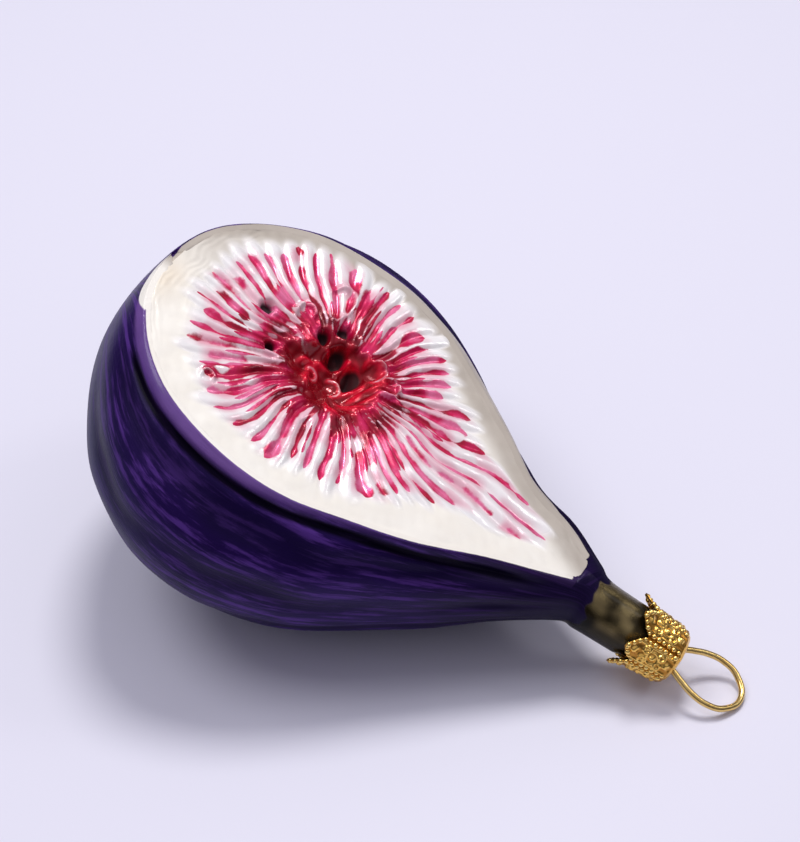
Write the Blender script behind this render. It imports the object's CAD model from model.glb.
# %% [markdown]
# # A blown glass fig ornament
# The object is a hanging ornament of mouth-blown glass in the shape of a halved fig. Glass is blown into a
# mould, silvered inside and painted outside, and a stamped metal cap with a wire loop closes the neck. This
# script loads the solid model as a fixed frame, then dresses it: first the camera, then each piece, then
# each finish, then the light.

# %% Load the frame
import math

import bmesh
import bpy
import numpy as np
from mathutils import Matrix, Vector


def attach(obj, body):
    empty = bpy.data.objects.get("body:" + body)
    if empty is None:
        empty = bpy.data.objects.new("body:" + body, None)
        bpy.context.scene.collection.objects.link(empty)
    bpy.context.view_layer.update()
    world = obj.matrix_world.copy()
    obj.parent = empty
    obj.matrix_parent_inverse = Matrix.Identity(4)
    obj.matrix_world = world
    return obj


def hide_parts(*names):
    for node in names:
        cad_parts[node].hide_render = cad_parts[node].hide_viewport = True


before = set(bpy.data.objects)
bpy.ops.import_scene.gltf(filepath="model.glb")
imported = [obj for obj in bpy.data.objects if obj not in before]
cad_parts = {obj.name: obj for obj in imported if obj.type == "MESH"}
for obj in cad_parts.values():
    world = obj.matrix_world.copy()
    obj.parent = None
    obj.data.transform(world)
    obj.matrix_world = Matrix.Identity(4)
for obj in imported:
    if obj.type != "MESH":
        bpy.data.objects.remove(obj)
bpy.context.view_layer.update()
print("solid pieces:", sorted(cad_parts))

# %% [markdown]
# ## Where the ornament lies
# It is easiest to think of the ornament in its own directions: along its axis from the base of the fruit to
# the ring, across it, and up out of the cut face. It lies tipped by 25 degrees, so every shape is worked out
# in millimetres in those directions and then turned into the frame's metres at the very end. A finished mesh
# keeps its place in its own vertices, and its object stays unturned at the origin.

# %% From the ornament's directions to the frame
MM = 0.001
PITCH = math.radians(25)
REST_ALONG = 30.6
REST_HEIGHT = 46.75


def to_frame(points):
    """Millimetres along, across and out of the cut face, as metres in the frame."""
    along, across, out = np.moveaxis(np.asarray(points, float), -1, 0)
    x = along * math.cos(PITCH) + out * math.sin(PITCH) - REST_ALONG
    z = -along * math.sin(PITCH) + out * math.cos(PITCH) + REST_HEIGHT
    return np.stack([x, across, z], -1) * MM


# %% [markdown]
# ## The camera
# The photograph was taken from above and a little to the right. Its place was found from the outline of the
# ornament: the camera looks down by 42 degrees, and its lens is a short telephoto, so the far rim is hardly
# smaller than the near.

# %% Camera
CAMERA_PLACE = (0.10695, -0.16871, 0.21058)
CAMERA_LOOKS = (-0.3763, 0.6351, -0.6746)
CAMERA_LENS = 85.51

camera_data = bpy.data.cameras.new("photo_camera")
camera_data.lens = CAMERA_LENS
camera_data.sensor_width = 36
camera_data.clip_start = 0.01
camera = bpy.data.objects.new("photo_camera", camera_data)
camera.location = CAMERA_PLACE
camera.rotation_euler = Vector(CAMERA_LOOKS).to_track_quat("-Z", "Y").to_euler()
bpy.context.collection.objects.link(camera)
bpy.context.scene.camera = camera
print("camera looks down by", round(math.degrees(math.asin(-CAMERA_LOOKS[2])), 1), "degrees")

# %% [markdown]
# ## The sections of the fruit
# A fruit blown in a mould has a smooth outline, so a handful of elliptical sections and a smooth curve
# through them give the whole body. These are the same sections as in the solid model, so the dressed skin
# lies exactly on it.

# %% Sections: along, half width, depth of the centre, half height, sideways shift
SECTIONS = [
    (0, 0, 13.0, 0, 0),
    (0.8, 6.9, 12.2, 6.7, 0),
    (3, 13.1, 11.4, 12.5, 0),
    (7, 19.4, 11.6, 15.4, 0),
    (13, 25.9, 12.5, 17.2, 0),
    (20, 29.6, 13.2, 18.2, 0),
    (28, 30.7, 13.7, 19.0, 0),
    (36, 29.2, 13.8, 19.1, 0),
    (44, 25.4, 13.5, 17.9, -0.2),
    (52, 19.4, 11.9, 15.8, -0.4),
    (60, 13.4, 9.4, 11.6, -0.2),
    (67, 9.4, 6.3, 7.4, 0.9),
    (73.5, 4.9, 4.45, 4.8, 1.4),
]
NECK_FOOT = Vector((75, 0.9, -4.25))
NECK_LEAN = Vector((1, 0.138, -0.01))
NECK_ROWS = [(76, 4.1), (82, 3.9)]
NECK_END_RINGS = [(83.4, 3.4), (88.4, 3.4)]
CUT_END = 72.1


def neck_row(along, radius):
    run = along - NECK_FOOT.x
    centre = NECK_FOOT + NECK_LEAN * run
    return (along, radius, -centre.z, radius, centre.y)


BODY_ROWS = SECTIONS + [neck_row(*row) for row in NECK_ROWS]


# %% A smooth curve through the sections
def smooth_through(rows, places):
    """A smooth curve through the rows. Places run from 0 at the first row to 1 at the last."""
    rows = np.asarray(rows, float)
    last = len(rows) - 1
    place = np.clip(np.asarray(places, float), 0, 1) * last
    i = np.minimum(place.astype(int), last - 1)
    w = (place - i)[:, None]
    before, start = rows[np.maximum(i - 1, 0)], rows[i]
    end, after = rows[i + 1], rows[np.minimum(i + 2, last)]
    leave, arrive = (end - before) / 2, (after - start) / 2
    cubic = 2 * start - 2 * end + leave + arrive
    square = 3 * end - 3 * start - 2 * leave - arrive
    return cubic * w**3 + square * w**2 + leave * w + start


def smoothstep(value, low, high):
    """0 at low and 1 at high, smooth between. With low above high it falls instead of rising."""
    t = np.clip((value - low) / (high - low), 0, 1)
    return t * t * (3 - 2 * t)


# %% [markdown]
# ## Helpers for meshes
# Both glass pieces and the cap's sheet are grids of points, closed round one way and welded to a point at
# the other two ends, so one helper makes the faces of a grid and another makes the piece. A mesh can carry a
# number on every vertex. Those numbers tell a material where a crease, a brush stroke or bare flesh is.


# %% Grid faces and mesh objects
WELD_DISTANCE = 2e-6


def add_object(name, data):
    """A new object in the scene for a mesh, a curve or a lamp."""
    made = bpy.data.objects.new(name, data)
    bpy.context.collection.objects.link(made)
    return made


def smooth_piece(name, mesh):
    """A mesh as a smooth object. It prints how many triangles it has."""
    mesh.polygons.foreach_set("use_smooth", np.ones(len(mesh.polygons), bool))
    print(name, "has", sum(len(p.vertices) - 2 for p in mesh.polygons), "triangles")
    return add_object(name, mesh)


def grid_faces(rows, columns):
    """Four-cornered faces of a grid whose last column joins the first."""
    i = np.arange(rows - 1)[:, None] * columns
    j = np.arange(columns)[None, :]
    k = (j + 1) % columns
    return np.stack([i + j, i + k, i + k + columns, i + j + columns], -1).reshape(-1, 4)


def make_piece(name, points, numbers, vectors=None):
    """A closed grid of points in metres as a piece, with named numbers and vectors on its vertices."""
    mesh = bpy.data.meshes.new(name)
    faces = grid_faces(*points.shape[:2])
    mesh.from_pydata(points.reshape(-1, 3).tolist(), [], faces.tolist())
    for label, values in numbers.items():
        layer = mesh.attributes.new(label, "FLOAT", "POINT")
        layer.data.foreach_set("value", np.ravel(values).astype(np.float32))
    for label, values in (vectors or {}).items():
        layer = mesh.attributes.new(label, "FLOAT_VECTOR", "POINT")
        layer.data.foreach_set("vector", np.ravel(values).astype(np.float32))
    work = bmesh.new()
    work.from_mesh(mesh)
    bmesh.ops.remove_doubles(work, verts=work.verts, dist=WELD_DISTANCE)
    bmesh.ops.recalc_face_normals(work, faces=work.faces)
    work.to_mesh(mesh)
    work.free()
    return smooth_piece(name, mesh)


# %% Smooth uneven waves
def ripples(x, y, wavelength, seed, waves=9):
    """Smooth uneven waves from about -1 to 1, the same on every run."""
    rng = np.random.default_rng(seed)
    total = np.zeros(np.broadcast(x, y).shape)
    for _ in range(waves):
        turn = rng.uniform(0, 2 * math.pi)
        number = 2 * math.pi / (wavelength * rng.uniform(0.7, 1.5))
        total += np.sin(number * (x * math.cos(turn) + y * math.sin(turn)) + rng.uniform(0, 2 * math.pi))
    return total / math.sqrt(waves)


# %% [markdown]
# ## The skin
# The skin of the real ornament is the outside of the glass: a belly with shallow creases that run from the
# base to the neck, and a rounded lip all round the cut face. A sculpted mesh would need hand work, and a
# subdivided cage would round off the creases. A grid of sections can be worked out at any fineness, so this
# piece is one grid. Under the cut face it closes with a lid that can't be seen, which keeps the piece a
# closed body. A crease is given by its place across the skin, its depth and its half width, and the lip by
# points that say how far in and how high they lie. On the near side a narrow groove runs just under the lip.

# %% Skin: creases and lip
CREASES = [
    (-0.9, 0.65, 0.055),
    (-0.66, 0.5, 0.045),
    (-0.43, 0.55, 0.045),
    (-0.19, 0.45, 0.045),
    (0.05, 0.5, 0.045),
    (0.27, 0.45, 0.045),
    (0.5, 0.6, 0.045),
    (0.71, 0.5, 0.045),
    (0.9, 0.7, 0.055),
]
LIP = [
    (0.05, -0.004),
    (0.2, -0.01),
    (0.45, -0.02),
    (0.75, -0.03),
    (1.0, -0.04),
    (1.08, -0.08),
    (1.18, -0.3),
    (1.25, -0.6),
]
LIP_REACH = LIP[-1][0]
LID_DEPTH = 0.16
LUMP_HEIGHT = 0.12
LIP_WIDTH = 1.9
LIP_NARROWS = 1.3
GROOVE_DEPTH = 0.5
GROOVE_BELOW_LIP = 1.2
GROOVE_HALF_WIDTH = 0.9
HIDDEN_LID = 8
ROWS_PER_SECTION = 16
SKIN_COLUMNS = 232
HEART = Vector((30, 1.5))
HEART_LENGTH, HEART_WIDTH, HEART_DEPTH = 7.4, 6.6, 3.4


# %% Skin: depths and shades by place
def crease_depth(place, along):
    """How deep the skin is creased, in millimetres, at a place across it, from far rim to near rim."""
    depth = np.zeros(np.broadcast(place, along).shape)
    for number, (centre, deepest, half_width) in enumerate(CREASES):
        wander = 0.018 * np.sin(0.16 * along + 2.1 * number) + 0.008 * np.sin(0.5 * along + number)
        uneven = 1 + 0.25 * np.sin(0.21 * along + 1.7 * number)
        depth += deepest * uneven * np.exp(-(((place - centre - wander) / half_width) ** 2))
    return depth * smoothstep(along, 2, 14) * (1 - smoothstep(along, 62, 75))


def flesh_shade(x, y, far_line):
    """How grey the flesh is painted: on the far side and towards the base."""
    far_band = smoothstep(far_line - y, 6.5, 2.0)
    base_end = 0.8 * smoothstep(x, 14, 4) * smoothstep(y, -4, 8)
    return np.maximum(far_band, base_end)


def hidden_depth(along):
    """A level that stays below the cut face and its hollow heart."""
    return 1.5 + (HEART_DEPTH + 1.6) * np.exp(-(((along - HEART.x) / 11) ** 2))


# %% Skin: the outside of the glass
row_count = (len(BODY_ROWS) - 1) * ROWS_PER_SECTION
places = np.arange(1, row_count + 1) / row_count
body = smooth_through(BODY_ROWS, places)
shoulder = np.searchsorted(body[:, 0], CUT_END)
shoulder_place = np.interp(CUT_END, body[:, 0], places)
extra = smooth_through(BODY_ROWS, shoulder_place + np.array([-4e-5, 4e-5, 0.0008, 0.002]))
body = np.vstack([body[:shoulder], extra, body[shoulder + 1:]])
body = np.vstack([body, [neck_row(*ring) for ring in NECK_END_RINGS]])
along, half_width, depth, half_height, shift = body.T[:, :, None]
reach = np.minimum(depth / np.maximum(half_height, 0.01), 1)
edge = np.pi / 2 + np.arcsin(reach)

across = np.linspace(-1, 1, SKIN_COLUMNS)[None, :]
crease = crease_depth(-across, along)
lump = LUMP_HEIGHT * ripples(along / 2.2, across * 22, 7, 3)
lump = lump * smoothstep(along, 1, 8) * smoothstep(along, 74, 64)
below_rim = (1 - np.abs(across)) * edge * half_width
lip_width = LIP_WIDTH - LIP_NARROWS * smoothstep(along, 16, 50)
from_groove = (below_rim - lip_width - GROOVE_BELOW_LIP) / GROOVE_HALF_WIDTH
groove = GROOVE_DEPTH * np.exp(-(from_groove**2)) * smoothstep(-across, 0, 0.4)
groove = groove * smoothstep(along, 4, 12) * smoothstep(along, 71, 62)
inward = crease + groove + lump * (1 - np.abs(across) ** 6)
skin_y = shift + (half_width - inward) * np.sin(across * edge)
skin_z = -depth - (half_height - inward) * np.cos(across * edge)
skin = np.stack([np.broadcast_to(along, skin_y.shape), skin_y, skin_z], -1)

# %% [markdown]
# The lip follows the outline of the cut face. Each point of the outline moves inwards at a right angle to
# it, over the lip and down its inner side, where the edge of the cut face covers it. Before and past the cut
# face there is no lip, and the section closes over the top.


# %% Skin: over the lip and over the top
def inward_normals(outline, side):
    """Unit directions that point into the face from a side of its outline, given as along and across."""
    tangent = np.gradient(outline, axis=0)
    normal = np.stack([-tangent[:, 1], tangent[:, 0]], -1) * -side
    return normal / np.maximum(np.linalg.norm(normal, axis=1), 1e-9)[:, None]


open_rows = (reach[:, 0] < 0.9999) & (along[:, 0] < CUT_END)
first_open, last_open = np.flatnonzero(open_rows)[[0, -1]]
cut_start = along[first_open, 0]
opening_up = smoothstep(along[:, 0], cut_start + 0.9, cut_start + 3.0)
far_outline = skin[:, -1, :2]
near_outline = skin[:, 0, :2]
cut_rows = slice(first_open, last_open + 1)
far_normal = np.zeros_like(far_outline)
near_normal = np.zeros_like(near_outline)
far_normal[cut_rows] = inward_normals(far_outline[cut_rows], 1)
near_normal[cut_rows] = inward_normals(near_outline[cut_rows], -1)


def lip_columns(outline, normal):
    """Points over the lip from the outline inwards, for the rows that are cut open."""
    columns = []
    room = np.clip(np.abs(far_outline[:, 1] - near_outline[:, 1]) / 2 / LIP_REACH, 0, 1)
    for inwards, height in LIP:
        flat = outline + normal * inwards * room[:, None] ** 0.5
        sunk = max(height, -LID_DEPTH) + min(height + LID_DEPTH, 0) * opening_up
        columns.append(np.column_stack([flat, sunk]))
    return np.stack(columns, 1)


def top_columns(from_angle):
    """Points over the top of a section that is closed, between the two ends of its skin columns."""
    angles = edge + (2 * np.pi - 2 * edge) * np.asarray(from_angle)[None, :]
    y = shift + half_width * np.sin(angles)
    z = -depth - half_height * np.cos(angles)
    sink = 0.3 * np.exp(-np.maximum(along - CUT_END, 0) / 0.22)
    sink = sink * np.sin(np.pi * np.asarray(from_angle))[None, :] ** 0.3
    return np.stack([np.broadcast_to(along, y.shape), y, z - sink], -1)


# %% Skin: one closed grid
far_lip = lip_columns(far_outline, far_normal)
near_lip = lip_columns(near_outline, near_normal)[:, ::-1]
steps = (np.arange(HIDDEN_LID) + 1) / (HIDDEN_LID + 1)
far_foot, near_foot = far_lip[:, -1], near_lip[:, 0]
share = steps[None, :, None]
lid = far_foot[:, None, :] * (1 - share) + near_foot[:, None, :] * share
lid_sag = 0.55 + (hidden_depth(along) - 0.6) * np.sin(np.pi * steps)[None, :] ** 0.4
lid[:, :, 2] = -LID_DEPTH - lid_sag * opening_up[:, None]
opened = np.concatenate([far_lip, lid, near_lip], 1)
over_top = top_columns(np.arange(1, opened.shape[1] + 1) / (opened.shape[1] + 1))
top = np.where(open_rows[:, None, None], opened, over_top)
ring_columns = np.concatenate([skin, top], 1)
base_pole = np.tile([0, 0, -SECTIONS[0][2]], (1, ring_columns.shape[1], 1))
neck_centre = neck_row(NECK_END_RINGS[-1][0], 0)
neck_pole = np.tile([neck_centre[0], neck_centre[4], -neck_centre[2]], (1, ring_columns.shape[1], 1))
skin_points = np.concatenate([base_pole, ring_columns, neck_pole])
print("the cut face runs from", np.round(along[first_open, 0], 2), "to", CUT_END, "mm")


# %% [markdown]
# The finish of the skin needs to know where it is. Brush marks run lengthwise, so a vector says how far
# along and round the fruit a place is, in centimetres. Then there are masks: how deep a crease or the groove
# under the lip is, which side faces the viewer, where the band of the lip is and how shaded the flesh is.
# The bloom mask says where a grey bloom lies on the belly, and on the neck how far a place faces away from
# the light.

# %% Skin: directions and masks
MEAN_GIRTH = 20
LID_INWARDS = 1.4
DARK_SIDE_Y = 0.73
DARK_SIDE_Z = 0.68

ring_y = ring_columns[:, :, 1]
ring_z = ring_columns[:, :, 2]
hidden_columns = ring_y.shape[1] - SKIN_COLUMNS


def over_lip(on_skin, beyond=0.0):
    """Numbers for whole rings, from those of the skin and those of the lip and lid beyond it."""
    rings = np.zeros(ring_y.shape)
    rings[:, :SKIN_COLUMNS] = on_skin
    rings[:, SKIN_COLUMNS:] = beyond
    return rings


girth = across * edge * MEAN_GIRTH / 10
round_way = over_lip(girth, np.linspace(0, 1, hidden_columns) * 0.2 + girth[:, -1:])
lengthwise = np.stack([np.broadcast_to(along / 10, ring_y.shape), round_way, np.zeros(ring_y.shape)], -1)
lip_inwards = [inwards for inwards, _ in LIP]
inwards = over_lip(-below_rim, lip_inwards + [LID_INWARDS] * HIDDEN_LID + lip_inwards[::-1])
on_near_half = np.arange(hidden_columns) >= len(LIP) + HIDDEN_LID // 2
near_side = over_lip(smoothstep(-across, -0.2, 0.8), on_near_half)
lip_band = near_side * smoothstep(-inwards - lip_width, 0.6, -0.4) * open_rows[:, None]
lip_band = lip_band * (0.15 + 0.85 * smoothstep(along, 58, 24))
far_line = np.interp(along, far_outline[cut_rows, 0], far_outline[cut_rows, 1])
outward_y = (shift - ring_y) / np.maximum(half_width, 0.1)
outward_z = -(ring_z + depth) / np.maximum(half_height, 0.1)
turned_down = DARK_SIDE_Y * outward_y + DARK_SIDE_Z * outward_z
neck_shade = np.maximum(smoothstep(turned_down, 0.0, 0.6), 0.7 * smoothstep(-turned_down, 0.55, 0.95))
bloom = smoothstep(-ring_z, 4, 13) * smoothstep(along, 32, 6) * smoothstep(-ring_y, -14, 6)
bloom = bloom + neck_shade * smoothstep(along, 70, 73)

# %% [markdown]
# Two more numbers are distances to lines that were painted by hand, because a distance keeps its edge sharp
# between vertices. The ivory of the flesh reaches over the far rim and over the rim at the base, and on the
# near side it stops inside the lip. The purple ends on the neck in a wavy line with one long tongue.

# %% Skin: the hand-painted lines
NEAR_BORDER = 0.28
CREAM_ROUNDING = 0.9
OLIVE_EDGE = 75.4
OLIVE_TONGUE = 6.5
TONGUE_TURN = math.radians(-52)
TONGUE_HALF_WIDTH = 0.42
BASE_LEVEL = 0.3
BASE_PATCH = 1.6
NO_CREAM = -5.0

far_border = -0.9 * smoothstep(along, 5, 16) - 3.4 * smoothstep(along, 24, 44)
far_border = 0.1 + far_border * smoothstep(along, 71, 62)
border = near_side * NEAR_BORDER + (1 - near_side) * far_border
from_middle = np.clip((ring_y - shift) / np.maximum(half_width, 0.1), -1, 1)
cream_end = CUT_END - 0.25 - CREAM_ROUNDING * from_middle**2
over_edge = np.minimum(inwards - border, (cream_end - along) * 1.5)
base_patch = BASE_PATCH * smoothstep(ring_y, 1.0, -2.5) * smoothstep(along, 6.5, 2.8)
over_base = ring_z - BASE_LEVEL + base_patch
cream = np.where(along < 20, over_base, NO_CREAM)
cream = np.where(open_rows[:, None], np.maximum(over_edge, over_base), cream)
around = np.arctan2(ring_z + depth, -(ring_y - shift))
tongue = OLIVE_TONGUE * np.exp(-(((around - TONGUE_TURN) / TONGUE_HALF_WIDTH) ** 2))
edge_wave = 0.5 * np.sin(3 * around + 0.8) + 0.3 * np.sin(7 * around) + 0.2 * np.sin(13 * around + 2)
olive = along - (OLIVE_EDGE - tongue + edge_wave)


# %% Skin: the piece
def with_poles(rings, base=0.0, neck=0.0):
    """The numbers of the rings, with a row before and after them for the two ends."""
    return np.concatenate([np.full_like(rings[:1], base), rings, np.full_like(rings[:1], neck)])


skin_numbers = {
    "creased": with_poles(over_lip(crease)),
    "grooved": with_poles(over_lip(groove / GROOVE_DEPTH)),
    "lip_band": with_poles(lip_band),
    "near_side": with_poles(near_side),
    "shaded": with_poles(flesh_shade(along, ring_y, far_line)),
    "bloom": with_poles(bloom, base=bloom[0].mean()),
    "cream": with_poles(cream, NO_CREAM, NO_CREAM),
    "olive": with_poles(olive, -30, 12),
}
skin_in_frame = to_frame(skin_points)
skin_in_frame[..., 2] = np.maximum(skin_in_frame[..., 2], 0)
skin_vectors = {"lengthwise": with_poles(lengthwise, 0, lengthwise[-1])}
fig_skin = make_piece("fig_skin", skin_in_frame, skin_numbers, skin_vectors)

# %% [markdown]
# ## The cut face
# The face of the real one is moulded in relief and painted by hand: a smooth flesh band, then about fifty
# pulp threads that run in towards a hollow heart, with curled lobes and dark pits in it. All of that is one
# surface with a height at each place, so numpy works out the height on a fine grid. Sculpting it would not
# repeat, and a displacement made by the material alone would be lost in the exported mesh. The grid's edge
# follows the lip, so that it tucks in under it.

# %% Cut face: the grid and its outline
FACE_INSET = 0.8
FACE_STEP = 0.172
FACE_COLUMNS = 212
FACE_END = 72.25


def inset_side(outline, normal):
    """The outline of the cut face, moved inwards to where the face tucks in under the lip."""
    inset = (outline + normal * FACE_INSET)[cut_rows]
    order = np.argsort(inset[:, 0])
    return inset[order]


far_inset = inset_side(far_outline, far_normal)
near_inset = inset_side(near_outline, near_normal)
face_start = max(far_inset[0, 0], near_inset[0, 0]) + 0.01
step_growth = FACE_STEP * np.minimum(1, 0.06 + np.arange(2000) / 22)
face_along = face_start + np.cumsum(step_growth) - step_growth[0]
face_along = np.append(face_along[face_along < FACE_END - 0.1], FACE_END)
far_edge = np.interp(face_along, far_inset[:, 0], far_inset[:, 1])
near_edge = np.interp(face_along, near_inset[:, 0], near_inset[:, 1])
spread = np.linspace(0, 1, FACE_COLUMNS)[None, :]
face_x = np.broadcast_to(face_along[:, None], (len(face_along), FACE_COLUMNS))
face_y = near_edge[:, None] * (1 - spread) + far_edge[:, None] * spread
print("cut face grid:", face_x.shape)

# %% [markdown]
# The threads are counted by an angle round the heart. A gentle warp makes them meander, and inside a certain
# radius they join in pairs, as on the real one. Between two ridges lies a valley, and that is where the red
# paint gathers.

# %% Cut face: pulp threads
THREADS = 48
STRETCH = 1.25
THREAD_HEIGHT = 0.62
JOIN_RADIUS = 9.0
draw = np.random.default_rng(11)
tongue_out = draw.uniform(-0.5, 1.5, THREADS)
valley_back = draw.uniform(0.0, 2.6, THREADS)
stroke_half_width = draw.uniform(0.5, 1.12, THREADS)
stroke_offset = draw.uniform(-0.12, 0.12, THREADS)
stroke_tone = draw.uniform(-0.2, 0.26, THREADS)
stroke_strength = np.where(draw.uniform(0, 1, THREADS) < 0.14, 0.35, 1.0)
ridge_stroke_in = draw.uniform(3.0, 11.0, THREADS)
ridge_stroke_out = ridge_stroke_in + draw.uniform(4.0, 10.0, THREADS)
ridge_stroke_on = draw.uniform(0, 1, THREADS) < 0.8


# %% Cut face: how the threads run
def warp(x, y):
    """The meander of the threads, in millimetres."""
    dx = 0.5 * ripples(x, y, 14, 21) + 0.04 * ripples(x, y, 4, 22)
    dy = 0.5 * ripples(x, y, 14, 23) + 0.04 * ripples(x, y, 4, 24)
    away = np.hypot(x - HEART.x, y - HEART.y)
    ease = smoothstep(away, 4, 10) * (1 - 0.5 * smoothstep(away, 22, 40))
    return x + dx * ease, y + dy * ease


def face_radius(angle):
    """How far the cut face reaches from the heart in each direction, in millimetres."""
    along_steps = np.linspace(0, 46, 460)
    x = HEART.x + STRETCH * np.cos(angle)[:, None] / unit_length(angle)[:, None] * along_steps
    y = HEART.y + np.sin(angle)[:, None] / unit_length(angle)[:, None] * along_steps
    far = np.interp(x, far_inset[:, 0], far_inset[:, 1], left=-99, right=-99)
    near = np.interp(x, near_inset[:, 0], near_inset[:, 1], left=99, right=99)
    inside = (y < far) & (y > near)
    return along_steps[np.argmin(inside, 1)]


def unit_length(angle):
    return np.hypot(STRETCH * np.cos(angle), np.sin(angle))


table_angle = np.linspace(-np.pi, np.pi, 721)
table_reach = face_radius(table_angle)
warped_x, warped_y = warp(face_x, face_y)
angle = np.arctan2(warped_y - HEART.y, (warped_x - HEART.x) / STRETCH)
radius = np.hypot(warped_x - HEART.x, warped_y - HEART.y)
rim_reach = np.interp(angle, table_angle, table_reach)
toward_neck = smoothstep(np.cos(angle), 0.5, 1)
toward_base = smoothstep(-np.cos(angle), 0.6, 1)
toward_near = smoothstep(-np.sin(angle), -0.1, 0.7)
flesh_band = 0.9 + 2.6 * toward_near + 4.6 * toward_neck + 2.2 * toward_base

# %% Cut face: ridges and valleys
count = (angle / (2 * np.pi) + 0.5) * THREADS
ridge = np.floor(count).astype(int) % THREADS
fraction = count - np.floor(count)
valley = np.round(count).astype(int) % THREADS
from_valley = np.abs(count - np.round(count) - stroke_offset[valley])
spacing = 2 * np.pi * radius * STRETCH / (THREADS * unit_length(angle) ** 2)
thread_end = rim_reach - flesh_band
valley_limit = np.minimum(tongue_out, np.roll(tongue_out, 1)) - 0.9
between = np.sin(np.pi * fraction) ** 0.7
low_end = np.where(fraction < 0.5, valley_limit[ridge], valley_limit[(ridge + 1) % THREADS])
tongue_end = thread_end + low_end * (1 - between) + tongue_out[ridge] * between
in_threads = smoothstep(tongue_end - radius, -0.9, 1.5)

outer_ridge = 1 - np.exp(-((np.minimum(fraction, 1 - fraction) / 0.25) ** 2))
half_count = count / 2
half_fraction = half_count - np.floor(half_count)
inner_ridge = 1 - np.exp(-((np.minimum(half_fraction, 1 - half_fraction) / 0.2) ** 2))
join = JOIN_RADIUS + 1.6 * ripples(face_x, face_y, 5, 31)
outer_share = smoothstep(radius, join - 1.3, join + 1.3)
ridge_shape = inner_ridge * (1 - outer_share) + outer_ridge * outer_share
print("thread spacing at 18 mm:", round(2 * math.pi * 18 / THREADS, 2), "mm")

# %% [markdown]
# The heart is a hollow with soft lobes, curled lips and a few deep pits. The main pits and curls are set by
# hand where the photograph shows them, because they give this ornament its look, and the small lobes between
# them are drawn at random with a fixed seed. A pit is a place and a size, and a curl has a squeeze as well.

# %% Cut face: the heart
PITS = [
    (24.9, 5.6, 0.95),
    (28.2, 5.2, 1.25),
    (31.5, 4.3, 1.5),
    (26.6, 8.2, 0.95),
    (16.6, 3.2, 1.0),
    (20.6, -1.6, 0.85),
]
CURLS = [
    (30.2, 1.4, 1.25, 0.95),
    (23.4, 11.2, 2.0, 1.65),
    (26.9, 0.2, 1.0, 1.2),
    (33.4, 6.3, 1.5, 0.9),
    (21.0, 6.4, 1.3, 1.1),
    (36.4, 5.2, 1.4, 1.0),
    (17.6, -12.6, 0.9, 0.9),
]
LOBES = 34
CURL_WALL = 0.34


def ring_height(x, y, centre_x, centre_y, size, squeeze):
    """A rolled lip round an oval, as on a curled petal."""
    away = np.hypot(x - centre_x, (y - centre_y) / squeeze)
    open_side = np.cos(np.arctan2(y - centre_y, x - centre_x) - 1.9 * centre_x)
    return np.exp(-(((away - size) / CURL_WALL) ** 2)) * smoothstep(open_side, -0.85, 0.1)


# %% Cut face: bowl, lobes, curls and pits
heart_q = np.hypot((face_x - HEART.x) / HEART_LENGTH, (face_y - HEART.y) / HEART_WIDTH)
heart_q = heart_q + 0.09 * ripples(face_x, face_y, 6, 41)
bowl = HEART_DEPTH * np.clip(1 - heart_q**2, 0, 1) ** 1.35 + 0.6 * np.exp(-(heart_q**2) / 3)
in_heart = 1 - smoothstep(heart_q, 0.78, 1.15)
lobes = np.zeros_like(face_x)
for _ in range(LOBES):
    place_r = draw.uniform(0.1, 1.0) ** 0.5
    place_t = draw.uniform(0, 2 * math.pi)
    lobe_x = HEART.x + HEART_LENGTH * place_r * math.cos(place_t)
    lobe_y = HEART.y + HEART_WIDTH * place_r * math.sin(place_t)
    turn = place_t + draw.uniform(0.4, 1.3)
    long_way = (face_x - lobe_x) * math.cos(turn) + (face_y - lobe_y) * math.sin(turn)
    short_way = -(face_x - lobe_x) * math.sin(turn) + (face_y - lobe_y) * math.cos(turn)
    bend = short_way - 0.12 * long_way**2
    lobe = np.exp(-((long_way / draw.uniform(0.9, 2.0)) ** 2) - (bend / draw.uniform(0.42, 0.7)) ** 2)
    lobes = np.maximum(lobes, lobe * draw.uniform(0.6, 1.0))
curls = np.max([ring_height(face_x, face_y, *curl) for curl in CURLS], 0)
pits = np.max([np.exp(-((np.hypot(face_x - px, face_y - py) / size) ** 4)) for px, py, size in PITS], 0)

# %% [markdown]
# Now the heights are added up. Near the base of the fruit the flesh has fine wrinkles that follow the rim.

# %% Cut face: heights
FLESH_LEVEL = -0.05
THREAD_MIDDLE = 0.62
LOBE_HEIGHT = 0.95
CURL_HEIGHT = 0.62
PIT_DEPTH = 1.5
WRINKLE_HEIGHT = 0.024
RIM_LEVEL = -0.036

wrinkle_wave = np.sin(2 * np.pi * (radius / 0.85 + 0.34 * ripples(face_x, face_y, 5, 52)))
wrinkled = smoothstep(12 - face_x, 0, 5) * smoothstep(ripples(face_x, face_y, 5, 53), -0.9, 0.6)
from_rim = np.minimum(face_y - near_edge[:, None], far_edge[:, None] - face_y)
flesh_wave = 0.05 * ripples(face_x, face_y, 7, 51) + 0.02 * ripples(face_x, face_y, 2.2, 54)
relief = THREAD_HEIGHT * (ridge_shape - THREAD_MIDDLE) * in_threads * (1 - in_heart)
relief = relief * (0.55 + 0.45 * smoothstep(radius, 20, 8))
heart_relief = in_heart * (LOBE_HEIGHT * lobes + 0.175 * ripples(face_x, face_y, 2.6, 61))
height = FLESH_LEVEL + flesh_wave - bowl + relief + heart_relief
height = height + CURL_HEIGHT * curls * (1 - 0.4 * in_heart) - PIT_DEPTH * pits
height = height + WRINKLE_HEIGHT * wrinkled * wrinkle_wave * (1 - in_threads)
rim_ease = smoothstep(from_rim, -0.1, 0.9)
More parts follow.
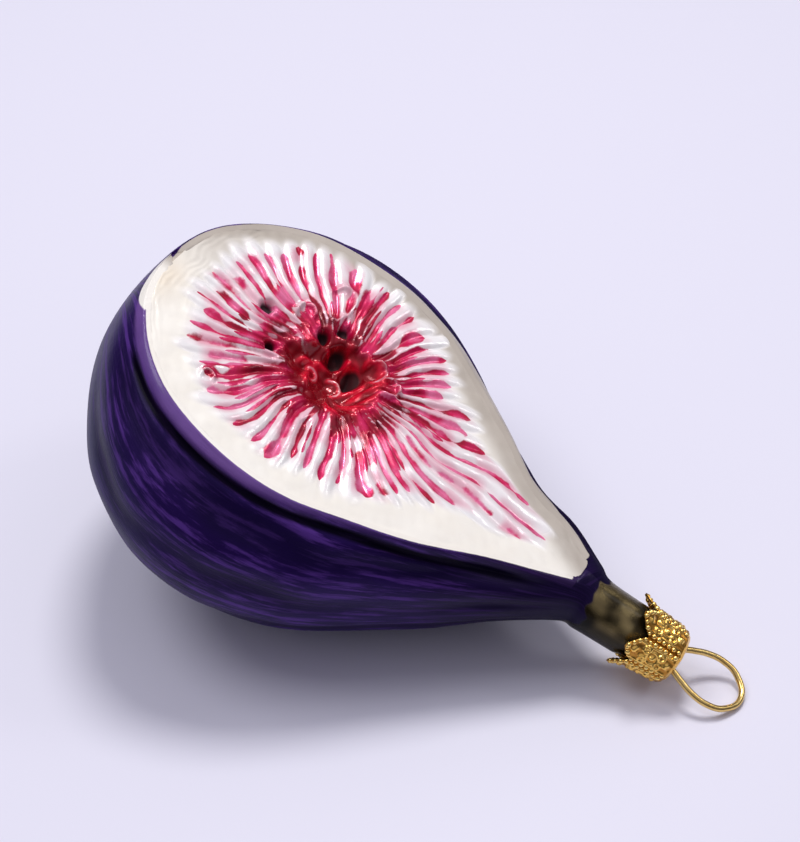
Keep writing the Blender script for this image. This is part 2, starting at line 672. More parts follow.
height = height * rim_ease + RIM_LEVEL * (1 - rim_ease)
print("cut face height from", round(height.min(), 2), "to", round(height.max(), 2), "mm")

# %% [markdown]
# The paint follows the relief. Each valley has its own stroke with a round tip, its own width and its own
# strength. Some ridges near the heart are painted too, and everything turns to ruby in the hollow. A soft
# pink wash lies beside the strokes. The numbers stay soft here, and the material makes crisp edges of them.

# %% Cut face: paint
TIP_ROUNDING = 1.1
RIDGE_STROKE_HALF_WIDTH = 0.42
WASH_WIDTHS = 1.9
OCHRE_PLACE = (3.8, -4.5)
OCHRE_SIZE = (2.6, 3.4)

tip = thread_end + valley_limit[valley] + 0.6 - valley_back[valley]
nib = np.sqrt(np.clip((tip - radius) / TIP_ROUNDING, 0, 1))
taper = 0.7 + 0.3 * smoothstep(radius, tip - 6, tip - 1.2)
half_stroke = stroke_half_width[valley] * taper * nib
distance = from_valley * spacing
stroke = np.where(half_stroke > 0.01, 1 - distance / np.maximum(half_stroke, 0.01), -1)
stroke = np.clip(stroke, -1, 1) * stroke_strength[valley]
ridge_middle = np.abs(fraction - 0.5) * spacing
ridge_nib = np.sqrt(np.clip((ridge_stroke_out[ridge] - radius) / 1.2, 0, 1))
ridge_nib = ridge_nib * np.sqrt(np.clip((radius - ridge_stroke_in[ridge]) / 3, 0, 1))
ridge_half = np.maximum(RIDGE_STROKE_HALF_WIDTH * ridge_nib, 0.01)
ridge_stroke = np.where(ridge_nib > 0.01, 1 - ridge_middle / ridge_half, -1)
ridge_stroke = np.where(ridge_stroke_on[ridge] & (radius > 5), ridge_stroke, -1)
stroke = np.maximum(stroke, ridge_stroke)
near_heart = 1 - smoothstep(radius + 1.6 * ripples(face_x, face_y, 3, 71), 5.0, 10.0)
stroke = np.maximum(stroke, near_heart * (1.5 - 1.5 * (ridge_shape - 0.4) * (1 - in_heart)) - 0.5)
stroke = stroke + 0.55 * np.minimum(ripples(face_x, face_y, 4.2, 74), 0) * smoothstep(radius, 7, 11)
wash = np.exp(-((distance / (WASH_WIDTHS * stroke_half_width[valley])) ** 2))
wash = wash * smoothstep(tip + 0.9 - radius, 0, 2.4)
wash = wash * (0.25 + 0.75 * smoothstep(ripples(face_x, face_y, 6, 72), -0.8, 0.6))
wash = np.maximum(wash, 0.8 * (1 - smoothstep(radius, 9, 15)) * (1 - in_heart))
tone = 0.2 + 0.5 * smoothstep(radius, 15, 6) + stroke_tone[valley]
tone = tone + 0.24 * ripples(face_x, face_y, 4.5, 75)
crest = np.clip(lobes * 0.9 + curls * 0.8, 0, 1)
worn = smoothstep(ripples(face_x, face_y, 2.4, 73), -0.2, 0.8)
bare_crest = in_heart * smoothstep(crest, 0.86, 0.99) * worn
bare_crest = np.maximum(bare_crest, smoothstep(curls, 0.75, 0.98) * 0.55)
face_far_line = np.interp(face_along, far_outline[cut_rows, 0], far_outline[cut_rows, 1])[:, None]
ochre_x = (face_x - OCHRE_PLACE[0]) / OCHRE_SIZE[0]
ochre_y = (face_y - OCHRE_PLACE[1]) / OCHRE_SIZE[1]
ochre = np.exp(-(ochre_x**2) - ochre_y**2)
face_numbers = {
    "stroke": np.clip(stroke, -1, 1),
    "wash": np.clip(wash, 0, 1),
    "tone": np.clip(tone, 0, 1),
    "bare_crest": np.clip(bare_crest, 0, 1),
    "crest": crest,
    "pit": pits,
    "in_threads": in_threads,
    "in_heart": in_heart,
    "ochre": ochre,
    "shaded": flesh_shade(face_x, face_y, face_far_line),
}

# %% [markdown]
# The grid is closed from below by a coarse underside that stays clear of the hollow, so that the face is a
# closed body.

# %% Cut face: the closed piece
UNDERSIDE = np.array([0.0, 0.12, 0.3, 0.5, 0.7, 0.88, 1.0])
face_top = np.stack([face_x, face_y, height], -1)
under_y = near_edge[:, None] * (1 - UNDERSIDE) + far_edge[:, None] * UNDERSIDE
under_z = -0.6 - (hidden_depth(face_along[:, None]) - 1.0) * np.sin(np.pi * UNDERSIDE)[None, :]
under = np.stack([np.broadcast_to(face_along[:, None], under_y.shape), under_y, under_z], -1)[:, ::-1]
face_ring = np.concatenate([face_top, under], 1)
first_end = np.broadcast_to(face_ring[0].mean(0), face_ring[:1].shape)
last_end = np.broadcast_to(face_ring[-1].mean(0) + [0, 0, -0.1], face_ring[:1].shape)
face_points = np.concatenate([first_end, face_ring, last_end])


def padded(values):
    """The numbers of the face grid, with rows and columns of zeros for the underside and the two ends."""
    full = np.zeros(face_points.shape[:2])
    full[1:-1, :FACE_COLUMNS] = values
    return full


padded_numbers = {label: padded(values) for label, values in face_numbers.items()}
cut_face = make_piece("cut_face", to_frame(face_points), padded_numbers)

# %% [markdown]
# ## The crown cap
# The cap is stamped from thin sheet and has six pointed leaves that stand off the neck at their tips. Its
# sheet is a grid bent round the neck, with the stamped pattern as heights on its outside. Drawing the
# pattern in a material alone would leave the outline smooth, and the outline of such a cap is what shows its
# beads.


# %% Neck directions and the cap's leaves
NECK_TURN = Vector((1, 0, 0)).rotation_difference(NECK_LEAN).to_matrix()
CAP_INSIDE = 3.65
CAP_SHEET = 0.33
CAP_TAPER = 0.4
CAP_NOTCH = 84.0
CAP_END = 89.6
CAP_CORNER = 0.75
LEAF_TIPS = [81.7, 81.7, 81.5, 81.5, 81.5, 81.3]
LEAVES = len(LEAF_TIPS)
LEAF_TURN = math.radians(92)
LEAF_FLARE = 0.75
CAP_COLUMNS_PER_LEAF = 44
CAP_ROWS = 76


def neck_to_frame(along, radius, turn):
    """A place on the neck: along the axis, from the axis, and round it, as metres in the frame."""
    along, radius, turn = np.broadcast_arrays(along, radius, turn)
    local = np.stack([along - NECK_FOOT.x, radius * np.cos(turn), radius * np.sin(turn)], -1)
    return to_frame(local @ np.array(NECK_TURN).T + np.array(NECK_FOOT))


def leaf_flare(along):
    """How far the sheet stands off the neck's straight tube."""
    taper = CAP_TAPER * (CAP_END - along) / (CAP_END - CAP_NOTCH)
    out = np.clip((CAP_NOTCH + 0.6 - along) / 3, 0, 1)
    return taper + LEAF_FLARE * out**2


def leaf_rim(turn):
    """The along coordinate of the leaves' pointed edge, and the place across the leaf from -1 to 1."""
    phase = (turn - LEAF_TURN) * LEAVES / (2 * np.pi)
    leaf = np.round(phase).astype(int) % LEAVES
    across_leaf = 2 * (phase - np.round(phase))
    away = np.abs(across_leaf)
    arch = 0.72 * away + 0.28 * away**2.4
    return np.array(LEAF_TIPS)[leaf] * (1 - arch) + CAP_NOTCH * arch, across_leaf


cap_turn = np.linspace(0, 2 * np.pi, LEAVES * CAP_COLUMNS_PER_LEAF, endpoint=False)[None, :]
rim_along, across_leaf = leaf_rim(cap_turn)
cap_step = np.linspace(0, 1, CAP_ROWS)[:, None]
cap_along = (CAP_END - CAP_CORNER) * (1 - cap_step) + rim_along * cap_step
print("cap sheet grid:", cap_along.shape)

# %% [markdown]
# The stamped pattern of a leaf is made of a few simple marks: a stud near the tip, two scrolls, a rosette
# and a second stud, inside a raised border line. The end of the cap turns over in a soft corner, given as
# rows of rise, radius and share of a slight wave.


# %% Stamped pattern
LEAF_HALF = math.pi * (CAP_INSIDE + CAP_SHEET) / LEAVES


def bump_at(x, y, centre_x, centre_y, size):
    return np.exp(-(((x - centre_x) ** 2 + (y - centre_y) ** 2) / size**2) ** 1.5)


def scroll_at(x, y, centre_x, centre_y, size, wall):
    return np.exp(-(((np.hypot(x - centre_x, y - centre_y) - size) / wall) ** 2))


leaf_x = across_leaf * LEAF_HALF
leaf_y = cap_along - CAP_NOTCH
stamped = 0.18 * scroll_at(leaf_x, leaf_y, 0, 1.9, 0.85, 0.16)
for stud_height, place_y, size in ((0.3, -0.75, 0.42), (0.34, 4.1, 0.44), (0.3, 1.9, 0.42)):
    stamped = np.maximum(stamped, stud_height * bump_at(leaf_x, leaf_y, 0, place_y, size))
for side in (-1, 1):
    stamped = np.maximum(stamped, 0.26 * scroll_at(leaf_x, leaf_y, 0.72 * side, 0.75, 0.46, 0.19))
    stamped = np.maximum(stamped, 0.26 * scroll_at(leaf_x, leaf_y, 0.62 * side, 3.05, 0.4, 0.18))
    stamped = np.maximum(stamped, 0.26 * bump_at(leaf_x, leaf_y, 0.72 * side, 0.75, 0.17))
border = 0.16 * np.exp(-(((np.abs(across_leaf) - 0.62) / 0.06) ** 2))
border_low = -0.12 * np.exp(-(((np.abs(across_leaf) - 1.0) / 0.1) ** 2))
stamped = np.maximum(stamped, border) + border_low
stamped = stamped * smoothstep(cap_step, 0, 0.1)
dented = 0.05 * ripples(leaf_x + 3 * cap_turn, leaf_y, 1.6, 81)

# %% The cap's closed sheet
outer_radius = CAP_INSIDE + CAP_SHEET + leaf_flare(cap_along) + stamped + dented
outer = neck_to_frame(cap_along, outer_radius, cap_turn)
inner_steps = np.array([1, 0.85, 0.6, 0.3, 0])[:, None]
inner_along = (CAP_END - CAP_CORNER) * (1 - inner_steps) + rim_along * inner_steps
inner = neck_to_frame(inner_along, CAP_INSIDE + leaf_flare(inner_along), cap_turn)
corner_wave = 0.06 * np.cos(LEAVES * 2 * (cap_turn - LEAF_TURN))
CAP_END_PROFILE = [
    (0.02, 0.0, 0),
    (0.02, 1.2, 0),
    (0, 2.5, 0),
    (-0.03, 2.95, 1),
    (-0.14, 3.35, 1),
    (-0.36, 3.7, 1),
    (-0.58, 3.88, 0.6),
]
end_rows = []
for rise, radius_here, wave_share in CAP_END_PROFILE:
    end_rows.append(neck_to_frame(CAP_END + rise, radius_here + corner_wave * wave_share, cap_turn))
inside_rows = []
for radius_here in (CAP_INSIDE - 0.5, 0.0):
    inside_rows.append(neck_to_frame(CAP_END - CAP_SHEET, radius_here, cap_turn))
cap_points = np.concatenate(end_rows + [outer, inner] + inside_rows)
raised = np.zeros(cap_points.shape[:2])
raised[:len(end_rows)] = 0.3
raised[len(end_rows):len(end_rows) + CAP_ROWS] = np.clip((stamped - 0.02) / 0.25, -0.5, 1)
crown_sheet = make_piece("crown_sheet", cap_points, {"raised": raised})

# %% [markdown]
# Rows of small beads follow both edges of each leaf and run on down to the end of the cap. They repeat along
# a path, so Geometry Nodes place them: the paths are thin lines of points, and each point gets a low bead of
# the stamped sheet.


# %% Bead paths
BEAD_ACROSS = 0.8
BEAD_GAP = 0.8
BEAD_RADIUS = 0.37
BEAD_FROM_RIM = 0.34
BEAD_SINK = 0.09


def bead_line(leaf, side):
    """Points down one edge of a leaf, from its tip to the end of the cap, evenly apart."""
    across_tip = np.linspace(0.05, BEAD_ACROSS, 60)
    across_all = np.concatenate([across_tip, np.full(120, BEAD_ACROSS)])
    turn = LEAF_TURN + (leaf + side * across_all / 2) * 2 * np.pi / LEAVES
    edge_along, _ = leaf_rim(turn)
    curved = edge_along[:60] + BEAD_FROM_RIM
    along = np.concatenate([curved, np.linspace(curved[-1], CAP_END - CAP_CORNER - 0.1, 120)])
    radius = CAP_INSIDE + CAP_SHEET + leaf_flare(along) - BEAD_SINK
    line = neck_to_frame(along, radius, turn)
    travelled = np.concatenate([[0], np.cumsum(np.linalg.norm(np.diff(line, axis=0), axis=1))]) / MM
    marks = np.arange(0.1, travelled[-1], BEAD_GAP)
    return np.stack([np.interp(marks, travelled, line[:, axis]) for axis in range(3)], -1)


bead_places = np.concatenate([bead_line(leaf, side) for leaf in range(LEAVES) for side in (-1, 1)])
print("beads on the cap:", len(bead_places))


# %% [markdown]
# A finish is needed before the beads can be made, because their tree ends in Set Material. A finish is
# mostly sums of masks and blends of colours. Linking each math node by hand would hide that, so an output of
# a node is wrapped as a signal here: signals add and multiply like numbers, and make the math nodes
# themselves.


# %% Signals
class Signal:
    """An output of a node. Sums, differences and products of signals are math nodes in the same tree."""

    def __init__(self, tree, socket):
        self.tree = tree
        self.socket = socket

    def math(self, operation, first, second):
        node = self.tree.nodes.new("ShaderNodeMath")
        node.operation = operation
        plug(self.tree, first, node.inputs[0])
        plug(self.tree, second, node.inputs[1])
        return Signal(self.tree, node.outputs[0])

    def __add__(self, other):
        return self.math("ADD", self, other)

    def __sub__(self, other):
        return self.math("SUBTRACT", self, other)

    def __rsub__(self, other):
        return self.math("SUBTRACT", other, self)

    def __mul__(self, other):
        return self.math("MULTIPLY", self, other)


def plug(tree, value, socket):
    """Links a signal to a socket, or sets the socket to a plain value."""
    if isinstance(value, Signal):
        tree.links.new(value.socket, socket)
    else:
        socket.default_value = value


def add_node(tree, kind, first=None, output=0, settings=None, **inputs):
    """A node with its first input and its named inputs plugged, as the signal of one of its outputs."""
    node = tree.nodes.new(kind)
    for name, value in (settings or {}).items():
        setattr(node, name, value)
    if first is not None:
        plug(tree, first, node.inputs[0])
    for name, value in inputs.items():
        plug(tree, value, node.inputs[name])
    return Signal(tree, node.outputs[output])


# %% Numbers, noise, steps and blends
def number(tree, name):
    """A number that the mesh carries on its vertices."""
    return add_node(tree, "ShaderNodeAttribute", output="Fac", settings={"attribute_name": name})


def noise(place, scale, detail, roughness=0.5):
    values = {"Scale": scale, "Detail": detail, "Roughness": roughness}
    return add_node(place.tree, "ShaderNodeTexNoise", Vector=place, **values)


def clipped(signal):
    """The same math node, with its result kept between 0 and 1."""
    signal.socket.node.use_clamp = True
    return signal


def step(value, low, high):
    """0 below low, 1 above high, smooth between."""
    node = value.tree.nodes.new("ShaderNodeMapRange")
    node.interpolation_type = "SMOOTHSTEP"
    for name, given in (("Value", value), ("From Min", low), ("From Max", high)):
        plug(value.tree, given, node.inputs[name])
    return Signal(value.tree, node.outputs["Result"])


def mix(share, first, second, kind="FLOAT", first_input=2, output=0):
    """Two numbers, mixed by a share from 0 to 1."""
    node = share.tree.nodes.new("ShaderNodeMix")
    node.data_type = kind
    plug(share.tree, share, node.inputs[0])
    plug(share.tree, first, node.inputs[first_input])
    plug(share.tree, second, node.inputs[first_input + 1])
    return Signal(share.tree, node.outputs[output])


def blend(share, first, second):
    """Two colours, mixed by a share from 0 to 1."""
    return mix(share, first, second, "RGBA", 6, 2)


def paint(red, green, blue):
    """A colour as it looks on screen, from 0 to 255, in the numbers that a shader mixes."""
    channels = [value / 255 for value in (red, green, blue)]
    return [c / 12.92 if c <= 0.04045 else ((c + 0.055) / 1.055) ** 2.4 for c in channels] + [1]


# %% [markdown]
# Two effects are used by more than one finish, so each is a node group: `hand_mottle` gives the uneven tone
# of a hand-laid coat, and `fine_ripple` gives the faint unevenness of blown glass and stamped sheet.


# %% Shared effects
def new_group(name, inputs, output):
    """A node group, its inputs as signals, and the socket of its one output."""
    group = bpy.data.node_groups.new(name, "ShaderNodeTree")
    group.interface.new_socket("Place", in_out="INPUT", socket_type="NodeSocketVector")
    for label, value in inputs.items():
        socket = group.interface.new_socket(label, in_out="INPUT", socket_type="NodeSocketFloat")
        socket.default_value = value
    group.interface.new_socket(output, in_out="OUTPUT", socket_type="NodeSocketFloat")
    entry = group.nodes.new("NodeGroupInput")
    signals = [Signal(group, socket) for socket in entry.outputs[:len(inputs) + 1]]
    return group, signals, group.nodes.new("NodeGroupOutput").inputs[0]


def make_hand_mottle():
    """The uneven tone of a coat laid by hand: broad clouds with finer ones in them."""
    inputs = {"Scale": 100.0, "Contrast": 1.0}
    group, (place, scale, contrast), mask = new_group("hand_mottle", inputs, "Mask")
    clouds = noise(place, scale * 3.7, 4.0) * 0.5 + noise(place, scale, 3.0)
    plug(group, clipped((clouds - 0.75) * contrast + 0.5), mask)
    return group


def make_fine_ripple():
    """The faint unevenness of blown glass or thin sheet, as a height for a bump."""
    group, (place, scale), height = new_group("fine_ripple", {"Scale": 200.0}, "Height")
    plug(group, noise(place, scale, 2.0) + noise(place, scale * 5.0, 2.0) * 0.2, height)
    return group


hand_mottle = make_hand_mottle()
fine_ripple = make_fine_ripple()
print("shared effects:", hand_mottle.name, "and", fine_ripple.name)


# %% Using an effect, and dressing a finish
def effect(group, place, *values):
    """The output of a shared effect at a place."""
    node = place.tree.nodes.new("ShaderNodeGroup")
    node.node_tree = group
    plug(place.tree, place, node.inputs[0])
    for socket, value in zip(node.inputs[1:], values):
        socket.default_value = value
    return Signal(place.tree, node.outputs[0])


def bumped(height, strength, distance):
    return add_node(height.tree, "ShaderNodeBump", Height=height, Strength=strength, Distance=distance)


def new_finish(name):
    """A material with its tree, and the place on the object as a signal."""
    material = bpy.data.materials.new(name)
    material.use_nodes = True
    place = add_node(material.node_tree, "ShaderNodeTexCoord", output="Object")
    return material, material.node_tree, place


def dress(material, values):
    """Signals and constants for the material's shader, by the names of its sockets."""
    shader = material.node_tree.nodes["Principled BSDF"]
    for name, value in values.items():
        plug(material.node_tree, value, shader.inputs[name])
    return material


# %% [markdown]
# ## The brass of the cap
# The cap is bright where its beads and studs were rubbed, and a warm brown sits in the hollows of the
# stamping. The beads and the wire are plain polished brass, so one function makes both.


# %% Stamped brass and polished brass
def make_stamped_brass():
    material, tree, place = new_finish("stamped_brass")
    mottle = effect(hand_mottle, place, 900.0, 1.2)
    raised = step(number(tree, "raised"), -0.35, 0.55)
    hollow_brown = blend(mottle, paint(128, 72, 16), paint(196, 130, 44))
    rubbed_gold = blend(mottle, paint(242, 188, 84), paint(252, 214, 122))
    return dress(material, {
        "Base Color": blend(raised, hollow_brown, rubbed_gold),
        "Metallic": 1.0,
        "Roughness": mix(raised, 0.34, 0.2),
        "Normal": bumped(effect(fine_ripple, place, 900.0), 0.12, 0.0002),
    })


def make_polished_brass(name, cloud_scale, contrast, darker, lighter, roughness, ripple_scale=None):
    material, _, place = new_finish(name)
    mottle = effect(hand_mottle, place, cloud_scale, contrast)
    if ripple_scale:
        dress(material, {"Normal": bumped(effect(fine_ripple, place, ripple_scale), 0.08, 0.0002)})
    return dress(material, {
        "Base Color": blend(mottle, darker, lighter),
        "Metallic": 1.0,
        "Roughness": mix(mottle, roughness, roughness + 0.1),
    })


stamped_brass = make_stamped_brass()
bead_golds = (paint(246, 196, 92), paint(255, 228, 146))
bead_brass = make_polished_brass("bead_brass", 1500.0, 1.4, *bead_golds, 0.16)
crown_sheet.data.materials.append(stamped_brass)


# %% The beads, placed by Geometry Nodes
BEAD_UNEVEN = 0.22
BEAD_SEED = 5


def bead_tree(material):
    """Sets a bead on every point of the mesh that it is given."""
    tree = bpy.data.node_groups.new("bead_rows", "GeometryNodeTree")
    tree.interface.new_socket("Geometry", in_out="INPUT", socket_type="NodeSocketGeometry")
    for label, value in (("Bead Radius", BEAD_RADIUS * MM), ("Uneven", BEAD_UNEVEN)):
        socket = tree.interface.new_socket(label, in_out="INPUT", socket_type="NodeSocketFloat")
        socket.default_value = value
    tree.interface.new_socket("Geometry", in_out="OUTPUT", socket_type="NodeSocketGeometry")
    line, radius, uneven = [Signal(tree, socket) for socket in tree.nodes.new("NodeGroupInput").outputs[:3]]
    points = add_node(tree, "GeometryNodeMeshToPoints", line)
    bead = add_node(tree, "GeometryNodeMeshIcoSphere", Subdivisions=2, Radius=radius)
    size = tree.nodes.new("FunctionNodeRandomValue")
    size.inputs["Seed"].default_value = BEAD_SEED
    least, most = [socket for socket in size.inputs if socket.type == "VALUE"][:2]
    plug(tree, 1.0 - uneven, least)
    plug(tree, uneven + 1.0, most)
    scale = Signal(tree, next(socket for socket in size.outputs if socket.type == "VALUE"))
    rows = add_node(tree, "GeometryNodeInstanceOnPoints", points, Instance=bead, Scale=scale)
    solid = add_node(tree, "GeometryNodeRealizeInstances", rows)
    smooth = add_node(tree, "GeometryNodeSetShadeSmooth", solid)
    finished = add_node(tree, "GeometryNodeSetMaterial", smooth, Material=material)
    plug(tree, finished, tree.nodes.new("NodeGroupOutput").inputs[0])
    return tree


# %% Plain meshes from what was grown
def freeze(name, source):
    """The finished shape of a source object as a plain mesh object. The source is removed."""
    mesh = bpy.data.meshes.new_from_object(source.evaluated_get(bpy.context.evaluated_depsgraph_get()))
    mesh.name = name
    bpy.data.objects.remove(source)
    return smooth_piece(name, mesh)


def grow(name, places, tree):
    """Runs a Geometry Nodes tree on points and keeps the result as a plain mesh object."""
    seed_mesh = bpy.data.meshes.new(name + "_points")
    seed_mesh.from_pydata([tuple(p) for p in places], [], [])
    seed = add_object(name + "_points", seed_mesh)
    seed.modifiers.new("grow", "NODES").node_group = tree
    return freeze(name, seed)


crown_beads = grow("crown_beads", bead_places, bead_tree(bead_brass))

# %% [markdown]
# ## The wire loop
# The loop is one length of bright drawn wire. A curve with a round bevel is the natural way to make a wire:
# its points are few, and the handles between them are worked out by Blender. Its legs go through the cap
# into the neck.

# %% Wire loop
WIRE_RADIUS = 0.45
LEG_SPREAD = 1.75
EYE_FROM = 89.4
EYE_LEAN = 0.035
HALF_LOOP = [
    (74.6, 2.0),
    (77, LEG_SPREAD),
    (83, LEG_SPREAD),
    (EYE_FROM, LEG_SPREAD + 0.15),
    (91.2, 2.75),
    (93.4, 3.65),
    (95.8, 3.9),
    (98.2, 3.0),
]
LOOP_TIP = 99.85
WIRE_ARCS = 14


def make_wire():
    half = [(along, -away) for along, away in HALF_LOOP]
    route = half + [(LOOP_TIP, 0)] + [(along, away) for along, away in reversed(HALF_LOOP)]
    curve = bpy.data.curves.new("hanger_wire", "CURVE")
    curve.dimensions = "3D"
    curve.bevel_depth = WIRE_RADIUS * MM
    curve.bevel_resolution = 5
    curve.resolution_u = WIRE_ARCS
    curve.use_fill_caps = True
    spline = curve.splines.new("BEZIER")
    spline.bezier_points.add(len(route) - 1)
    for point, (along, away) in zip(spline.bezier_points, route):
        lean = EYE_LEAN * max(0, along - EYE_FROM)
        local = NECK_TURN @ Vector((along - NECK_FOOT.x, away + lean, 0)) + NECK_FOOT
        point.co = to_frame(local)
        point.handle_left_type = "AUTO"
        point.handle_right_type = "AUTO"
    return freeze("hanger_wire", add_object("hanger_wire_curve", curve))


hanger_wire = make_wire()
wire_golds = (paint(210, 170, 92), paint(242, 214, 142))
hanger_wire.data.materials.append(make_polished_brass("brass_wire", 500.0, 1.3, *wire_golds, 0.14, 1400.0))

# %% [markdown]
# ## The lacquered skin
# Two lacquers meet on the skin: a dark blue-violet that was brushed lengthwise over the belly, and a thin
# olive gold on the neck, through which the silvering shines. The lip is a lighter violet, because little
# paint stays on an edge. The creases are dark and the groove under the lip is nearly black. A grey-blue
# bloom lies on the side near the base, and the neck is dark where it faces away from the light. Each of
# these is one more coat over the violet.

# %% Skin lacquer
IVORY = (paint(246, 239, 226), paint(253, 249, 240))
GREY_FLESH = (paint(174, 164, 152), paint(202, 192, 180))


def flesh_colour(mottle, shaded):
    """The opaque ivory of the flesh, greyer where it is shaded. The skin and the face both end in it."""
    return blend(shaded, blend(mottle, *IVORY), blend(mottle, *GREY_FLESH))


def make_skin_lacquer():
    material, tree, place = new_finish("skin_lacquer")
    lengthwise = add_node(
        tree, "ShaderNodeAttribute", output="Vector", settings={"attribute_name": "lengthwise"}
    )
    stretched = add_node(tree, "ShaderNodeMapping", lengthwise, Scale=(0.6, 4.6, 1))
    streak = step(noise(stretched, 1.9, 6.0, 0.62), 0.47, 0.63)
    mottle = effect(hand_mottle, place, 55.0, 1.3)
    along = add_node(tree, "ShaderNodeSeparateXYZ", lengthwise)
    groove = step(number(tree, "grooved"), 0.15, 0.75)
    lip = number(tree, "lip_band")
    bloom = number(tree, "bloom")
    near = number(tree, "near_side")
    coats = [
        (streak * 0.85, paint(88, 52, 138)),
        (clipped(bloom * (mottle + 0.35) * 0.85), paint(56, 58, 84)),
        (step(number(tree, "creased"), 0.08, 0.6) * 0.7, paint(12, 4, 40)),
        (groove * 0.95, paint(3, 1, 9)),
        (step(along, 5.0, 7.0) * 0.85, paint(12, 6, 30)),
        (lip * 0.9, blend(mottle, paint(70, 40, 112), paint(126, 88, 160))),
    ]
    violet = blend(mottle, paint(15, 5, 44), paint(38, 14, 82))
    for share, colour in coats:
        violet = blend(share, violet, colour)
    bright_patch = step(noise(place, 210.0, 1.5), 0.4, 0.64)
    olive_gold = blend(bright_patch, paint(46, 38, 20), paint(172, 152, 104))
    olive_gold = blend(bloom * 0.94, olive_gold, paint(6, 5, 3))
    ragged = noise(place, 900.0, 3.0) - 0.5
    olive = step(number(tree, "olive") + ragged * 0.3, -0.2, 0.3)
    cream = step(number(tree, "cream") + ragged * 0.1, -0.06, 0.08)
    flesh = flesh_colour(mottle, number(tree, "shaded"))
    satin = mix(cream, mix(near, 0.85, mix(streak, 0.4, 0.48)), 0.42)
    gloss = mix(cream, (lip * 0.6 + 0.05) * near, 0.1)
    brushed = effect(fine_ripple, place, 260.0) + noise(stretched, 9.0, 4.0) * 0.6
    leathery = brushed + effect(fine_ripple, place, 900.0) * 0.25
    return dress(material, {
        "Base Color": blend(cream, blend(olive, violet, olive_gold), flesh),
        "Metallic": mix(olive, 0.05, 0.72),
        "Roughness": mix(olive, satin, 0.2),
        "Coat Weight": mix(olive, gloss, 0.12),
        "Coat Roughness": 0.18,
        "Specular Tint": blend(olive, paint(170, 146, 226), paint(255, 255, 255)),
        "Specular IOR Level": mix(groove, mix(near, 0.1, 0.22), 0.03),
        "Normal": bumped(leathery, 0.2, 0.0004),
    })


fig_skin.data.materials.append(make_skin_lacquer())

# %% [markdown]
# ## The painted cut face
# The flesh band is an opaque ivory coat. Over the threads the coat is thin and pearly, with a little silver
# shining through, and the red is a clear lacquer: pale pink where it is thin, crimson where it gathers, and
# ruby in the heart.

# %% Face paint
RED_STOPS = [(0.0, (238, 118, 162)), (0.3, (218, 32, 96)), (0.62, (182, 6, 54)), (1.0, (116, 0, 24))]


def red_lacquer(tone):
    """The red of a stroke, from a thin coat at tone 0 to a thick one at tone 1."""
    ramp = tone.tree.nodes.new("ShaderNodeValToRGB")
    for _ in RED_STOPS[2:]:
        ramp.color_ramp.elements.new(0.5)
    for element, (position, colour) in zip(ramp.color_ramp.elements, RED_STOPS):
        element.position = position
        element.color = paint(*colour)
    plug(tone.tree, tone, ramp.inputs[0])
    return Signal(tone.tree, ramp.outputs[0])


def make_face_paint():
    material, tree, place = new_finish("face_paint")
    mottle = effect(hand_mottle, place, 120.0, 1.1)
    unsteady = (effect(hand_mottle, place, 620.0, 1.6) - 0.5) * 0.3
    threads = number(tree, "in_threads")
    heart = number(tree, "in_heart")
    flesh = flesh_colour(mottle, number(tree, "shaded"))
    flesh = blend(number(tree, "ochre") * mottle * 0.8, flesh, paint(214, 178, 120))
    pearl = blend(mottle, paint(246, 240, 238), paint(253, 251, 251))
    ground = blend(number(tree, "wash") * 0.7, blend(threads, flesh, pearl), paint(226, 118, 152))
    ruby = blend(step(number(tree, "crest"), 0.1, 0.6), paint(138, 0, 20), paint(224, 8, 48))
    red = blend(heart, red_lacquer(number(tree, "tone") + unsteady), ruby)
    stroke = step(number(tree, "stroke") + unsteady, 0.0, 0.34)
    stroke = stroke.math("MAXIMUM", stroke, heart * 0.96) * (1.0 - number(tree, "bare_crest"))
    pit = step(number(tree, "pit"), 0.25, 0.8)
    outside_pits = 1.0 - pit
    return dress(material, {
        "Base Color": blend(pit * 0.96, blend(stroke, ground, red), paint(14, 2, 6)),
        "Metallic": mix(stroke, threads * 0.12, 0.25) * outside_pits,
        "Roughness": mix(pit, mix(threads, 0.42, 0.24), 0.7),
        "Coat Weight": mix(threads, 0.1, 0.55) * outside_pits,
        "Coat Roughness": 0.05,
        "Specular IOR Level": 0.25,
        "Normal": bumped(effect(fine_ripple, place, 420.0), 0.2, 0.0003),
    })


cut_face.data.materials.append(make_face_paint())
print("finishes:", sorted(material.name for material in bpy.data.materials))

# %% [markdown]
# ## Floor and light
# The ornament lies on a pale, faintly lilac surface. A soft key lamp hangs high behind it, where the cut
# face mirrors it, so that the wet-looking threads glint and the shadow falls towards the viewer. A small dim
# lamp at the right draws a line of light along the neck and the loop, and a wide one high at the left opens
# up the dark skin. The sky is dim at the horizon and brighter overhead, because metal and lacquer would look
# flat with the same grey all round.

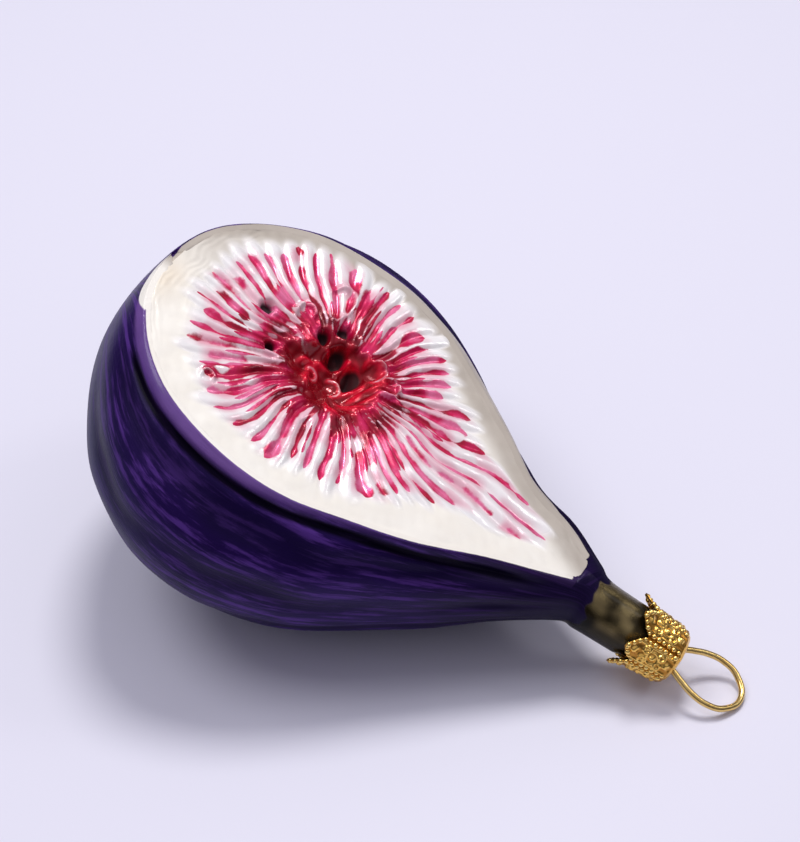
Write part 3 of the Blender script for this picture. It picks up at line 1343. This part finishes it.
# %% Floor
FLOOR_HALF = 2.0
floor_corners = [(x * FLOOR_HALF, y * FLOOR_HALF, 0) for x, y in ((-1, -1), (1, -1), (1, 1), (-1, 1))]
floor_mesh = bpy.data.meshes.new("floor")
floor_mesh.from_pydata(floor_corners, [], [(0, 1, 2, 3)])
floor_paint, _, _ = new_finish("pale_floor")
floor_mesh.materials.append(dress(floor_paint, {"Base Color": paint(226, 224, 238), "Roughness": 0.5}))
add_object("floor", floor_mesh)

# %% Lamps by name, place, aim, size, watts and colour, then the sky
LAMPS = [
    ("key_softbox", (-0.07, 0.2, 0.58), (0, 0, 0.02), 0.18, 1.85, (1, 0.99, 0.975)),
    ("glint_softbox", (0.3, 0.3, 0.42), (0.01, 0, 0.02), 0.14, 0.25, (1, 1, 1)),
    ("front_softbox", (-0.25, -0.12, 0.58), (0, 0, 0.02), 0.3, 0.96, (0.97, 0.975, 1)),
]
SKY_DIM, SKY_BRIGHT = 0.05, 0.62

for name, place, aim, size, power, colour in LAMPS:
    data = bpy.data.lights.new(name, "AREA")
    data.shape = "DISK"
    data.size = size
    data.energy = power
    data.color = colour
    lamp = add_object(name, data)
    lamp.location = place
    lamp.rotation_euler = (Vector(aim) - lamp.location).to_track_quat("-Z", "Y").to_euler()

sky = bpy.data.worlds.new("soft_sky")
sky.use_nodes = True
sky_direction = add_node(sky.node_tree, "ShaderNodeTexCoord", output="Generated")
sky_height = add_node(sky.node_tree, "ShaderNodeSeparateXYZ", sky_direction, output="Z")
background = sky.node_tree.nodes["Background"]
background.inputs["Color"].default_value = paint(226, 224, 240)
plug(sky.node_tree, mix(step(sky_height, 0.12, 0.85), SKY_DIM, SKY_BRIGHT), background.inputs["Strength"])
bpy.context.scene.world = sky
bpy.context.scene.view_settings.view_transform = "Standard"
print("lamps:", len(LAMPS), "with", round(sum(lamp[4] for lamp in LAMPS), 2), "watts in all")

# %% [markdown]
# ## Handing over
# Every piece rides on the one body, says which solid it stands for, and names the record's finish.

# %% Bodies, solids and finishes
for piece, solid, slot in [
    (fig_skin, "glass_body", "painted_glass"),
    (cut_face, "glass_body", "painted_glass"),
    (crown_sheet, "crown_cap", "stamped_brass"),
    (crown_beads, "crown_cap", "stamped_brass"),
    (hanger_wire, "hanger_loop", "brass_wire"),
]:
    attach(piece, "root")
    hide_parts(solid)
